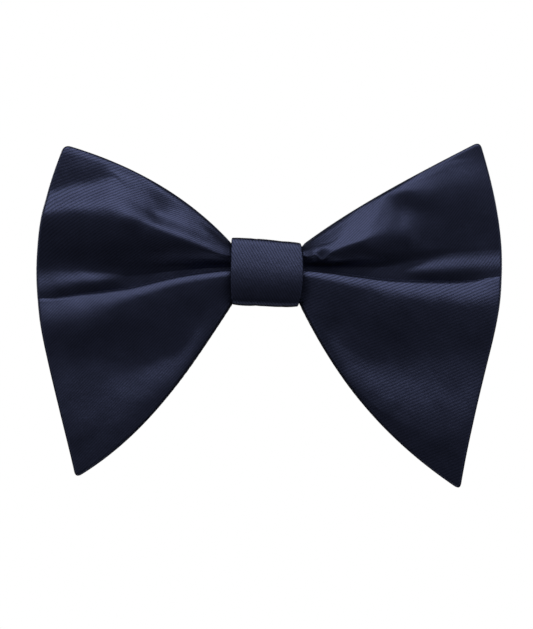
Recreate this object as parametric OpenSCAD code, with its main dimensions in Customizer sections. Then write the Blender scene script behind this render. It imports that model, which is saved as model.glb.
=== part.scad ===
// Pre-tied clip-on bow tie, worn upright: +X to the viewer's right, +Z up, front towards -Y.
// The origin is on the flat back of the knot, where the knot rests against the collar.

/* [Bow] */
// Width across both wings
bow_w = 150; // [140:1:160]
// Height of the upper corners above the middle of the knot
rise_h = 41; // [38:1:44]
// Drop of the lower corners below the middle of the knot
drop_h = 69; // [64:1:74]
// How far the front panel stands out from the seam plane
front_puff = 7.5; // [5:0.5:9]
// How far the back panel stands out from the seam plane
back_puff = 2.3; // [2:0.1:2.3]
// Thickness of the shell fabric
cloth_t = 0.6; // [0.4:0.1:0.6]

/* [Knot] */
// Width of the knot wrap along the bow
knot_w = 23.4; // [22:0.2:24]
// Height of the knot
knot_h = 20.4; // [20.4:0.2:22]
// Depth of the knot from its front to its flat back
knot_d = 13; // [13:0.5:15]
// Slant of the knot's upper and lower edges, in degrees
knot_tilt = 2.5; // [0:0.5:3]
// Thickness of the folded wrap
wrap_t = 0.75; // [0.6:0.05:0.75]
// Thickness of the interlining under the wrap
lining_t = 0.5; // [0.3:0.1:0.5]

/* [Clips] */
// Length of the carrier bar
bar_l = 48; // [46:1:52]
// Width of the carrier bar
bar_w = 9; // [8:0.5:10]
// Width of a clip's base leg
clip_w = 10; // [9.6:0.2:11]
// Distance from the knot's middle to each swivel rivet
rivet_x = 19; // [18.6:0.2:20]
// Distance from a swivel rivet to its clip's hinge pin
pin_from_rivet = 7; // [6.6:0.2:8]
// Diameter of the hinge pins
pin_d = 1.6; // [1.4:0.1:1.6]
// Diameter of the spring wire
wire_d = 0.5; // [0.4:0.05:0.5]

/* [Hidden] */
$fn = 48;

navy = [0.075, 0.082, 0.135];
fit = 0.05;            // gap between flat faces that only touch
hair = 0.01;           // gap between the two panels along their seam
// Depths of the layers behind the bow, from the flat back of the knot forwards
lining_y = -2 * (wrap_t + fit);
bar_back_y = lining_y - lining_t - fit;
bar_t = 0.8;
bar_front_y = bar_back_y - bar_t;
base_t = 0.7;
base_front_y = bar_back_y + fit;
base_back_y = base_front_y + base_t;
pin_y = base_back_y + 2.35;
// The bow's seam plane and its waist under the knot
waist_x = knot_w / 2 + 0.8;
waist_front = 3.7;
thread_r = 0.25;
thread_clear = 0.16;   // gap between the gathered cloth and the thread round it
mid_y = -6.5;
waist_h = knot_h / 2 - wrap_t - lining_t - 2 * thread_r - 2 * thread_clear - 0.7;
waist_flare = 1.2;     // how much the gathered cloth spreads towards the ends of the knot

// ---------------------------------------------------------------- curves and sheets
function lerp(a, b, k) = a + (b - a) * k;
function smooth(k) = let (c = min(max(k, 0), 1)) c * c * (3 - 2 * c);
function bezier(p, u) =
    pow(1 - u, 3) * p[0] + 3 * u * pow(1 - u, 2) * p[1] + 3 * u * u * (1 - u) * p[2] + pow(u, 3) * p[3];

// Scales a point of the drafted outline, made at 150 mm wide, 41 mm up and 69 mm down
function sized(p) = [p[0] * bow_w / 150, p[1] * (p[1] > 0 ? rise_h / 41 : drop_h / 69)];

function waist_point(x, up) =
    [x, up * (waist_h + waist_flare * pow(x / waist_x, 4)) - x * tan(knot_tilt)];

// Each wing's upper, outer and lower edges are one cubic each: [upper corner, lower corner, handles]
LEFT = [[-65.6, 41], [-61.6, -66], [-26.5, 25.5], [-45, 35.5], [-82.5, 0], [-72, -22], [-25, -31], [-38.5, -52.5]];
RIGHT = [[68.6, 41], [61.8, -69], [28.9, 22], [47, 31.4], [84.5, -8], [70, -19], [22.8, -35], [37, -53.5]];
function upper_edge(w, side) = [waist_point(side * waist_x, 1), sized(w[2]), sized(w[3]), sized(w[0])];
function outer_edge(w) = [sized(w[0]), sized(w[4]), sized(w[5]), sized(w[1])];
function lower_edge(w, side) = [waist_point(side * waist_x, -1), sized(w[6]), sized(w[7]), sized(w[1])];

// Point of a wing in the seam plane: s runs from the waist to the outer edge, t from -1 below to 1 above
function wing_point(side, s, t) =
    let (
        w = side < 0 ? LEFT : RIGHT,
        v = (t + 1) / 2,
        up = upper_edge(w, side),
        low = lower_edge(w, side),
        out = outer_edge(w),
        across = lerp(bezier(low, s), bezier(up, s), v),
        along = lerp(lerp(low[0], up[0], v), bezier(out, 1 - v), s),
        corners = lerp(lerp(low[0], low[3], s), lerp(up[0], up[3], s), v)
    )
    across + along - corners;

// The bow is one strip of stations from -1 at the left edge, through the waist, to 1 at the right edge
WING_STEPS = 12;
WAIST_STEPS = 4;
function stations(s_end) = concat(
    [for (i = [WING_STEPS:-1:1]) [-1, s_end * i / WING_STEPS]],
    [for (i = [0:WAIST_STEPS]) [0, lerp(-1, 1, i / WAIST_STEPS)]],
    [for (i = [1:WING_STEPS]) [1, s_end * i / WING_STEPS]]
);
function strip_point(st, t) =
    st[0] == 0
        ? lerp(waist_point(st[1] * waist_x, -1), waist_point(st[1] * waist_x, 1), (t + 1) / 2)
        : wing_point(st[0], st[1], t);

function crown(t) = pow(max(1 - t * t, 0), 0.6);
function closing(st) = st[0] == 0 ? 1 : sqrt(1 - pow(st[1], 4));
function front_depth(st, t) =
    lerp(waist_front, front_puff, st[0] == 0 ? 0 : smooth(st[1] / 0.35)) * closing(st) * crown(t);
function back_depth(st, t) = back_puff * closing(st) * crown(t);

function rows(n, t_end) = [for (j = [0:n]) t_end * sin(90 * lerp(-1, 1, j / n))];
function at_depth(p, y) = [p[0], y, p[1]];

// Closed sheet between two grids of points; the front grid lies towards -Y
module sheet(front, back) {
    nc = len(front);
    nr = len(front[0]);
    b = nc * nr;
    points = concat([for (c = front) each c], [for (c = back) each c]);
    faces = concat(
        [for (i = [0:nc - 2], j = [0:nr - 2]) let (k = i * nr + j) each
            [[k, k + 1, k + nr + 1], [k, k + nr + 1, k + nr],
             [b + k, b + k + nr + 1, b + k + 1], [b + k, b + k + nr, b + k + nr + 1]]],
        [for (i = [0:nc - 2]) let (k = i * nr, m = k + nr - 1) each
            [[b + k, k, k + nr], [b + k, k + nr, b + k + nr],
             [m, b + m, b + m + nr], [m, b + m + nr, m + nr]]],
        [for (j = [0:nr - 2]) let (m = (nc - 1) * nr + j) each
            [[b + j, b + j + 1, j + 1], [b + j, j + 1, j],
             [m, m + 1, b + m + 1], [m, b + m + 1, b + m]]]
    );
    polyhedron(points = points, faces = faces, convexity = 6);
}

// ---------------------------------------------------------------- the bow
PANEL_ROWS = 12;

module bow_front_panel() {
    st = stations(1);
    ts = rows(PANEL_ROWS, 1);
    inner = mid_y - hair;
    color(navy) sheet(
        [for (c = st) [for (t = ts) at_depth(strip_point(c, t), inner - cloth_t - front_depth(c, t))]],
        [for (c = st) [for (t = ts) at_depth(strip_point(c, t), inner - front_depth(c, t))]]
    );
}

module bow_back_panel() {
    st = stations(1);
    ts = rows(PANEL_ROWS, 1);
    inner = mid_y + hair;
    color(navy) sheet(
        [for (c = st) [for (t = ts) at_depth(strip_point(c, t), inner + back_depth(c, t))]],
        [for (c = st) [for (t = ts) at_depth(strip_point(c, t), inner + cloth_t + back_depth(c, t))]]
    );
}

// Stiffening layer between the panels, cut smaller than the seam
module bow_interlining() {
    st = stations(0.92);
    ts = rows(8, 0.9);
    half_t = 0.3;
    color([0.82, 0.82, 0.8]) sheet(
        [for (c = st) [for (t = ts) at_depth(strip_point(c, t), mid_y - half_t)]],
        [for (c = st) [for (t = ts) at_depth(strip_point(c, t), mid_y + half_t)]]
    );
}

// A straight round rod between two points
module rod(a, b, r) {
    d = b - a;
    translate(a)
        rotate([0, acos(d[2] / norm(d)), atan2(d[1], d[0])])
            cylinder(h = norm(d), r = r);
}

// Running stitches that join the two panels just inside their edge
SEAM_R = 0.15;
module seam_run(pts) {
    for (i = [0:len(pts) - 2])
        rod(pts[i], lerp(pts[i], pts[i + 1], 0.62), SEAM_R);
}

module edge_seam_thread() {
    seam_t = 0.955;
    seam_s = 0.955;
    color("midnightblue")
        for (side = [-1, 1]) {
            for (t = [-seam_t, seam_t])
                seam_run([for (i = [0:16]) at_depth(wing_point(side, lerp(0.06, 0.92, i / 16), t), mid_y)]);
            seam_run([for (i = [0:20]) at_depth(wing_point(side, seam_s, lerp(-0.85, 0.85, i / 20)), mid_y)]);
        }
}

// Tube of n sides along a path, with rings set square to the path and to the given axis
module tube(path, r, n, axis) {
    last = len(path) - 1;
    rings = [for (i = [0:last]) let (
        along = path[min(i + 1, last)] - path[max(i - 1, 0)],
        side = cross(along, axis) / norm(cross(along, axis)),
        up = cross(side, along) / norm(along)
    ) [for (k = [0:n - 1]) path[i] + r * (cos(360 * k / n) * side + sin(360 * k / n) * up)]];
    faces = concat(
        [for (i = [0:last - 1], k = [0:n - 1]) let (m = (k + 1) % n) each
            [[i * n + k, i * n + m, (i + 1) * n + m], [i * n + k, (i + 1) * n + m, (i + 1) * n + k]]],
        [for (k = [1:n - 2]) [0, k + 1, k]],
        [for (k = [1:n - 2]) [last * n, last * n + k, last * n + k + 1]]
    );
    polyhedron(points = [for (ring = rings) each ring], faces = faces, convexity = 8);
}

// Thread wound round the gathered waist
THREAD_TURNS = 4;
THREAD_STEPS = 26;
module waist_thread() {
    clear = thread_r + thread_clear;
    pitch = 0.8;
    round_off = 0.9;
    color("midnightblue")
        tube(
            [for (i = [0:THREAD_TURNS * THREAD_STEPS]) let (
                a = 360 * i / THREAD_STEPS,
                x = pitch * (i / THREAD_STEPS - THREAD_TURNS / 2),
                depth = cloth_t + clear + (sin(a) > 0 ? waist_front : back_puff)
            ) [
                x,
                mid_y - depth * sign(sin(a)) * pow(abs(sin(a)), round_off),
                (waist_h + clear) * cos(a) - x * tan(knot_tilt)
            ]],
            thread_r, 6, [1, 0, 0]
        );
}

// ---------------------------------------------------------------- the knot
back_flat = knot_h / 2 - 2.8;   // half height of the knot's flat back
corner_r = 2.8;

// The knot's section in [z, y]: u from 0 to 4 goes down the back, round the bottom, up the front
// and over the top; u beyond 4 goes down the back again
function knot_section(u, inset) =
    let (
        k = u % 4,
        r = corner_r - inset,
        half = knot_h / 2 - inset,
        deep = knot_d - corner_r - inset,
        bend = 2 / 2.6
    )
    k < 1 ? [lerp(back_flat, -back_flat, k), -inset]
    : k < 1.5 ? let (a = 180 * (k - 1)) [-back_flat - r * sin(a), -corner_r + r * cos(a)]
    : k < 3.5 ? let (a = 90 * (k - 1.5))
        [-half * sign(cos(a)) * pow(abs(cos(a)), bend), -corner_r - deep * pow(abs(sin(a)), bend)]
    : let (a = 180 * (4 - k)) [back_flat + r * sin(a), -corner_r + r * cos(a)];

function band(u0, u1, n, outer, inner) = concat(
    [for (i = [0:n]) let (u = lerp(u0, u1, i / n)) knot_section(u, outer(u))],
    [for (i = [n:-1:0]) let (u = lerp(u0, u1, i / n)) knot_section(u, inner(u))]
);

// Extrudes a [z, y] section along X and slants it with the knot
module along_knot(w)
    rotate([0, knot_tilt, 0])
        rotate([0, -90, 0])
            linear_extrude(w, center = true)
                children();

// The wrap starts under itself on the back, goes once round, and its folded end lies over the start
wrap_start = 0.06;
wrap_end = 4.84;
function wrap_inset(u) = (wrap_t + fit) * (1 - smooth((u - 1.0) / 0.5));
module knot_wrap() {
    outside = function (u) wrap_inset(u);
    inside = function (u) wrap_inset(u) + wrap_t;
    color(navy)
        along_knot(knot_w)
            polygon(band(wrap_start, wrap_end, 96, outside, inside));
}

module knot_interlining() {
    outside = function (u) wrap_inset(u) + wrap_t + fit;
    inside = function (u) outside(u) + lining_t;
    color([0.82, 0.82, 0.8])
        along_knot(knot_w - 4)
            polygon(band(wrap_start + 0.02, 3.95, 84, outside, inside));
}

// Slip stitches that close the wrap's folded end on the back
module knot_seam_stitches() {
    count = 8;
    end_z = knot_section(wrap_end, 0)[0];
    color("midnightblue")
        rotate([0, knot_tilt, 0])
            for (i = [0:count - 1])
                translate([lerp(-1, 1, i / (count - 1)) * (knot_w / 2 - 2), 0, end_z])
                    rod([-0.5, -0.2, 0.75], [0.5, -0.72, -0.85], 0.15);
}

// ---------------------------------------------------------------- the clip hardware
// Parts of a clip are drawn for the right side and mirrored for the left
module on_side(side) mirror([side < 0 ? 1 : 0, 0, 0]) children();

// Extrudes an [x, z] outline from y0 to y1
module plate(y0, y1)
    translate([0, y1, 0]) rotate([90, 0, 0]) linear_extrude(y1 - y0) children();

module rounded_slab(x0, x1, half_w, r0, r1) {
    translate([x0 + r0, -half_w]) square([x1 - x0 - r0 - r1, 2 * half_w]);
    translate([x0, -half_w + r0]) square([r0 + 0.01, 2 * (half_w - r0)]);
    translate([x1 - r1 - 0.01, -half_w + r1]) square([r1 + 0.01, 2 * (half_w - r1)]);
    for (m = [-1, 1]) {
        translate([x0 + r0, m * (half_w - r0)]) circle(r0);
        translate([x1 - r1, m * (half_w - r1)]) circle(r1);
    }
}

rivet_r = 1.2;
module carrier_bar() {
    round_r = bar_w / 2 - 0.02;
    color("silver")
        difference() {
            plate(bar_front_y, bar_back_y) rounded_slab(-bar_l / 2, bar_l / 2, bar_w / 2, round_r, round_r);
            for (m = [-1, 1])
                translate([m * rivet_x, bar_back_y + 1, 0]) rotate([90, 0, 0]) cylinder(h = 3, r = rivet_r + 0.02);
        }
}

// Rivet with a domed head behind the clip and a flat set head in front of the bar
module swivel_rivet(side) {
    head_r = 2.2;
    head_h = 0.75;
    set_r = 1.9;
    set_h = 0.45;
    shank_h = bar_t + base_t + 2 * fit;
    dome = [for (i = [0:6]) let (a = 15 * i) [head_r * cos(a), set_h + shank_h + 0.2 + (head_h - 0.2) * sin(a)]];
    color("gainsboro")
        translate([side * rivet_x, bar_front_y - set_h, 0])
            rotate([-90, 0, 0])
                rotate_extrude()
                    polygon(concat(
                        [[0, 0], [set_r - 0.15, 0], [set_r, 0.15], [set_r, set_h], [rivet_r, set_h],
                         [rivet_r, set_h + shank_h], [head_r, set_h + shank_h]],
                        dome
                    ));
}

hinge_x = rivet_x + pin_from_rivet;
pin_r = pin_d / 2;
ear_t = 0.7;
ear_out = clip_w / 2;
cheek_out = ear_out - ear_t - 0.2;
jaw_reach = 12;

// Extrudes an [x, y] profile, measured from the hinge pin, from z0 to z1
module at_hinge(z0, z1) translate([hinge_x, pin_y, z0]) linear_extrude(z1 - z0) children();

// Base leg with a rivet hole and two ears that carry the pin
module clip_base(side) {
    leg_y = base_back_y - pin_y;
    color("gainsboro")
        on_side(side)
            difference() {
                union() {
                    plate(base_front_y, base_back_y)
                        rounded_slab(rivet_x - 5, hinge_x + jaw_reach, clip_w / 2, 2.5, 1.2);
                    for (z0 = [-ear_out, ear_out - ear_t])
                        at_hinge(z0, z0 + ear_t) {
                            circle(1.9);
                            translate([-2.9, leg_y - 0.3]) square([5.8, 1.2]);
                            translate([-1.9, leg_y]) square([3.8, -leg_y]);
                        }
                }
                translate([rivet_x, base_back_y + 1, 0]) rotate([90, 0, 0]) cylinder(h = 3, r = rivet_r + fit);
                at_hinge(-ear_out - 1, ear_out + 1) circle(pin_r + 0.02);
            }
}

// Soft liner on the base leg, under the jaw
module grip_pad(side) {
    pad_t = 0.7;
    groove_r = 0.25;
    color("dimgray")
        on_side(side)
            difference() {
                plate(base_back_y, base_back_y + pad_t)
                    rounded_slab(hinge_x + 4.4, hinge_x + jaw_reach - 0.4, clip_w / 2 - 0.6, 0.8, 0.8);
                for (x = [hinge_x + 9.2:0.8:hinge_x + 11.2])
                    translate([x, base_back_y + pad_t + 0.1, 0]) cylinder(h = clip_w + 2, r = groove_r, center = true);
            }
}

// Pin with a set head outside each ear
module hinge_pin(side) {
    head_in = ear_out + 0.02;
    head_out = head_in + 0.45;
    color("silver")
        on_side(side) {
            at_hinge(-head_out, head_out) circle(pin_r);
            for (z0 = [-head_out, head_in])
                at_hinge(z0, z0 + head_out - head_in) circle(pin_r + 0.45);
        }
}

// Torsion spring round the pin: one leg lies along the base, the other lifts the lever's tab
SPRING_TURNS = 3.5;
SPRING_STEPS = 14;
module torsion_spring(side) {
    coil_r = pin_r + 0.3 + wire_d / 2;
    half = 1.4;
    n = SPRING_TURNS * SPRING_STEPS;
    coil = [for (i = [0:n]) let (a = 360 * i / SPRING_STEPS - 90)
        [coil_r * cos(a), coil_r * sin(a), lerp(-half, half, i / n)]];
    path = concat([[-4.4, -2.02, -half], [-1.2, -coil_r - 0.12, -half]], coil, [[-1.2, coil_r, half], [-5.4, 1.72, half]]);
    color("silver")
        on_side(side)
            translate([hinge_x, pin_y, 0])
                tube(path, wire_d / 2, 6, [0, 0, 1]);
}

// Path with its inner corners rounded over the distance r
function rounded_path(p, r) = concat(
    [p[0]],
    [for (i = [1:len(p) - 2]) let (
        a = p[i] + r * (p[i - 1] - p[i]) / norm(p[i - 1] - p[i]),
        b = p[i] + r * (p[i + 1] - p[i]) / norm(p[i + 1] - p[i])
    ) for (u = [0:0.25:1]) (1 - u) * (1 - u) * a + 2 * u * (1 - u) * p[i] + u * u * b],
    [p[len(p) - 1]]
);

// Outline of a bent strip of thickness t along a path
function bent_strip(p, t) =
    let (
        last = len(p) - 1,
        normals = [for (i = [0:last]) let (d = p[min(i + 1, last)] - p[max(i - 1, 0)]) [-d[1], d[0]] / norm(d)]
    )
    concat(
        [for (i = [0:last]) p[i] + t / 2 * normals[i]],
        [for (i = [last:-1:0]) p[i] - t / 2 * normals[i]]
    );

lever_t = 0.7;
LEVER_PATH = [[-11.6, 3.3], [-6, 2.5], [-3.4, 2.15], [2.9, 2.15], [4.1, 3.15], [9.4, 3.15], [jaw_reach, -1.2]];

// Spring-loaded lever: thumb tab, two cheeks on the pin, arched jaw with a toothed lip
module clip_lever(side) {
    half_w = clip_w / 2 - 0.4;
    teeth = 5;
    color("gainsboro")
        on_side(side)
            difference() {
                union() {
                    intersection() {
                        at_hinge(-half_w, half_w) polygon(bent_strip(rounded_path(LEVER_PATH, 0.55), lever_t));
                        plate(pin_y - 5, pin_y + 5) {
                            rounded_slab(hinge_x - 12, hinge_x - 4.4, half_w, 2.6, 0.4);
                            translate([hinge_x - 5, -cheek_out]) square([9.6, 2 * cheek_out]);
                            rounded_slab(hinge_x + 4, hinge_x + jaw_reach + 1, half_w, 0.4, 0.2);
                        }
                    }
                    for (z0 = [-cheek_out, cheek_out - lever_t])
                        at_hinge(z0, z0 + lever_t) {
                            circle(1.7);
                            translate([-2.4, 0.6]) square([4.8, 1.6]);
                        }
                }
                at_hinge(-ear_out, ear_out) circle(pin_r + 0.08);
                for (i = [0:teeth - 2])
                    translate([hinge_x + jaw_reach, pin_y - 1.35, (i - (teeth - 2) / 2) * 1.9])
                        rotate([0, 90, 0]) cylinder(h = 4, r = 0.5, center = true);
            }
}

bow_front_panel();
bow_back_panel();
bow_interlining();
edge_seam_thread();
waist_thread();
knot_wrap();
knot_interlining();
knot_seam_stitches();
carrier_bar();
swivel_rivet(-1);  // left_swivel_rivet
clip_base(-1);  // left_clip_base
grip_pad(-1);  // left_grip_pad
hinge_pin(-1);  // left_hinge_pin
torsion_spring(-1);  // left_torsion_spring
clip_lever(-1);  // left_clip_lever
swivel_rivet(1);  // right_swivel_rivet
clip_base(1);  // right_clip_base
grip_pad(1);  // right_grip_pad
hinge_pin(1);  // right_hinge_pin
torsion_spring(1);  // right_torsion_spring
clip_lever(1);  // right_clip_lever
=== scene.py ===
"""Looks of the clip-on bow tie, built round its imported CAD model.

The bow's satin panels, the knot wrap and the soft inner layers replace their plain CAD solids. The clip
hardware keeps its CAD shape. Lengths below are in millimetres unless a name says otherwise; MM makes metres.
"""
import math

import bpy
import numpy as np
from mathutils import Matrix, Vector, noise


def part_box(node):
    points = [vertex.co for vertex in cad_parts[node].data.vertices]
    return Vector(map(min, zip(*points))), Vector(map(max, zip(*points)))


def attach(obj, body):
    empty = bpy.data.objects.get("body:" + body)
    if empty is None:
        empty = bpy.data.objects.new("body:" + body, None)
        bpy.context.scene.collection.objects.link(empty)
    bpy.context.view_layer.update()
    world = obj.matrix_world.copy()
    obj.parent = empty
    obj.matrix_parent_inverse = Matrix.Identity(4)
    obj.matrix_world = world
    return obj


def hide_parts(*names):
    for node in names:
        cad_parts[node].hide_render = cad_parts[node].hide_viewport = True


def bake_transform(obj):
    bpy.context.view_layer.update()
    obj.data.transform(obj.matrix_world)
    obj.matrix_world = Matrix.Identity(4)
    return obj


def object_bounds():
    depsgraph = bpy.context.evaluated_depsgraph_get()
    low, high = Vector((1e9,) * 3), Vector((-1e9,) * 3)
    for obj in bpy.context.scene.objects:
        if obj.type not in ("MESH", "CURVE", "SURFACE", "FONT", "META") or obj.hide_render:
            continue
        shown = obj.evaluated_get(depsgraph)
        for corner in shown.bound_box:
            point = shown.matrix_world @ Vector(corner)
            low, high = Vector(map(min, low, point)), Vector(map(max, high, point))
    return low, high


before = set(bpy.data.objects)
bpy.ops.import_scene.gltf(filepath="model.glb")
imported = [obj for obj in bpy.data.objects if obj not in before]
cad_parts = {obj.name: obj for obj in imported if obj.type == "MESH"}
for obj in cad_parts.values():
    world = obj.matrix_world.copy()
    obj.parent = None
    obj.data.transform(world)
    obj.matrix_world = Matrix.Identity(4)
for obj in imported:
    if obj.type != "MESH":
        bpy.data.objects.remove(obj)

MM = 0.001
cad_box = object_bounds()


def box_mm(node):
    """A CAD node's lowest and highest corner, in millimetres."""
    low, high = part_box(node)
    return np.array(low) / MM, np.array(high) / MM


# ---------------------------------------------------------------- camera, floor and light
PICTURE_W, PICTURE_H = 533, 629
SEEN_W = 170.7          # width of the picture at the bow's face
AIM_X, AIM_Z = -0.95, 0.4       # from the middle of the bow to the middle of the picture
LENS = 100.0
SENSOR = 36.0
WORLD_TINT = (1.0, 0.97, 0.86, 1)
WORLD_STRENGTH = 0.034
LIGHT_TARGET = Vector((0, -0.01, -0.012))
# Each softbox: name, place and size in metres, power in watts
LIGHTS = [
    ("key", (-0.05, -0.60, 0.64), (1.0, 0.62), 6.5),
    ("side_left", (-0.80, -0.60, -0.05), (0.6, 0.8), 0.9),
    ("side_right", (0.80, -0.60, -0.05), (0.6, 0.8), 0.9),
    ("back_left", (-0.62, 0.62, 0.26), (0.9, 0.6), 3.5),
    ("back_right", (0.62, 0.62, 0.26), (0.9, 0.6), 3.5),
    ("behind", (0.0, 1.1, 0.30), (1.2, 0.6), 4.0),
]

bow_low, bow_high = box_mm("bow_front_panel")
MID_Y = float(np.mean(box_mm("bow_interlining"), axis=0)[1])    # the seam plane


def aim(obj, target):
    """Turns a camera or light, which look along their own -Z, towards a point."""
    direction = Vector(target) - obj.location
    obj.rotation_euler = direction.to_track_quat("-Z", "Y").to_euler()


def add_camera():
    """A long lens square to the front, which looks at the middle of the bow."""
    data = bpy.data.cameras.new("camera")
    data.lens = LENS
    data.sensor_width = SENSOR
    camera = bpy.data.objects.new("camera", data)
    bpy.context.scene.collection.objects.link(camera)
    seen_h = SEEN_W * PICTURE_H / PICTURE_W
    distance = seen_h * LENS / SENSOR
    face_y = (bow_low[1] + MID_Y) / 2
    centre_x = (bow_low[0] + bow_high[0]) / 2
    centre_z = (bow_low[2] + bow_high[2]) / 2
    look_at = Vector((centre_x + AIM_X, face_y, centre_z + AIM_Z)) * MM
    camera.location = look_at - Vector((0, distance, 0)) * MM
    aim(camera, look_at)
    bpy.context.scene.camera = camera


def softbox(name, place, size, watts):
    """A white rectangular area light that faces the bow. Its place and size are in metres."""
    data = bpy.data.lights.new(name, "AREA")
    data.shape = "RECTANGLE"
    data.size, data.size_y = size
    data.energy = watts
    light = bpy.data.objects.new(name, data)
    bpy.context.scene.collection.objects.link(light)
    light.location = place
    aim(light, LIGHT_TARGET)


def add_world():
    """White where the camera looks, and a dim studio for the light on the object."""
    world = bpy.data.worlds.new("studio")
    bpy.context.scene.world = world
    world.use_nodes = True
    tree = world.node_tree
    tree.nodes.clear()
    out = tree.nodes.new("ShaderNodeOutputWorld")
    mix = tree.nodes.new("ShaderNodeMixShader")
    path = tree.nodes.new("ShaderNodeLightPath")
    dim = tree.nodes.new("ShaderNodeBackground")
    dim.inputs["Color"].default_value = WORLD_TINT
    dim.inputs["Strength"].default_value = WORLD_STRENGTH
    white = tree.nodes.new("ShaderNodeBackground")
    white.inputs["Color"].default_value = (1, 1, 1, 1)
    tree.links.new(path.outputs["Is Camera Ray"], mix.inputs["Fac"])
    tree.links.new(dim.outputs[0], mix.inputs[1])
    tree.links.new(white.outputs[0], mix.inputs[2])
    tree.links.new(mix.outputs[0], out.inputs["Surface"])


def add_floor():
    """A round pale studio floor, below the bow as it hangs, in metres."""
    radius, below = 0.22, 0.36
    count = 96
    z = cad_box[0].z - below
    angles = np.linspace(0, 2 * math.pi, count, False)
    ring = [(radius * math.cos(a), radius * math.sin(a), z) for a in angles]
    mesh = bpy.data.meshes.new("floor")
    mesh.from_pydata(ring, [], [list(range(count))])
    floor = bpy.data.objects.new("floor", mesh)
    bpy.context.scene.collection.objects.link(floor)
    material = bpy.data.materials.new("floor_paint")
    material.use_nodes = True
    bsdf = material.node_tree.nodes["Principled BSDF"]
    bsdf.inputs["Base Color"].default_value = (0.8, 0.8, 0.8, 1)
    bsdf.inputs["Roughness"].default_value = 0.8
    mesh.materials.append(material)


add_camera()
add_world()
add_floor()
bpy.context.scene.view_settings.view_transform = "Standard"
for light in LIGHTS:
    softbox(*light)


# ---------------------------------------------------------------- materials
class Nodes:
    """Short calls for wiring a material's nodes."""

    def __init__(self, name):
        self.material = bpy.data.materials.new(name)
        self.material.use_nodes = True
        self.tree = self.material.node_tree
        self.bsdf = self.tree.nodes["Principled BSDF"]

    def add(self, kind, **values):
        """A new node, with each value set as a property of the node or on the input of that name."""
        node = self.tree.nodes.new("ShaderNode" + kind)
        for key, value in values.items():
            if hasattr(node, key):
                setattr(node, key, value)
            else:
                node.inputs[key].default_value = value
        return node

    def link(self, out, into):
        self.tree.links.new(out, into)

    def math(self, operation, a, b=None):
        """A math node's result. Each operand is a number or another node's output."""
        node = self.add("Math", operation=operation)
        for socket, value in zip(node.inputs, (a, b)):
            if isinstance(value, (int, float)):
                socket.default_value = value
            elif value is not None:
                self.link(value, socket)
        return node.outputs[0]

    def mix(self, factor, a, b):
        node = self.add("MixRGB")
        for socket, value in zip(node.inputs, (factor, a, b)):
            if isinstance(value, (tuple, float, int)):
                socket.default_value = value
            else:
                self.link(value, socket)
        return node.outputs[0]

    def noise(self, vector, scale, detail=2.0, roughness=0.5):
        node = self.add("TexNoise", Scale=scale, Detail=detail, Roughness=roughness)
        self.link(vector, node.inputs["Vector"])
        return node.outputs["Fac"]

    def bump(self, height, distance, strength=1.0, normal=None):
        node = self.add("Bump", Strength=strength, Distance=distance)
        self.link(height, node.inputs["Height"])
        if normal is not None:
            self.link(normal, node.inputs["Normal"])
        return node.outputs[0]


UV_MM = 10.0            # millimetres of cloth per unit of the cloth UV map
CLOTH_UV = "cloth"
NAVY = (0.0105, 0.0130, 0.0240), (0.0370, 0.0435, 0.0900)      # the twill's navy, with painted shade between its ribs and a painted highlight on them
SATIN_ROUGHNESS = 0.45  # before the ribs and slubs change it


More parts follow.
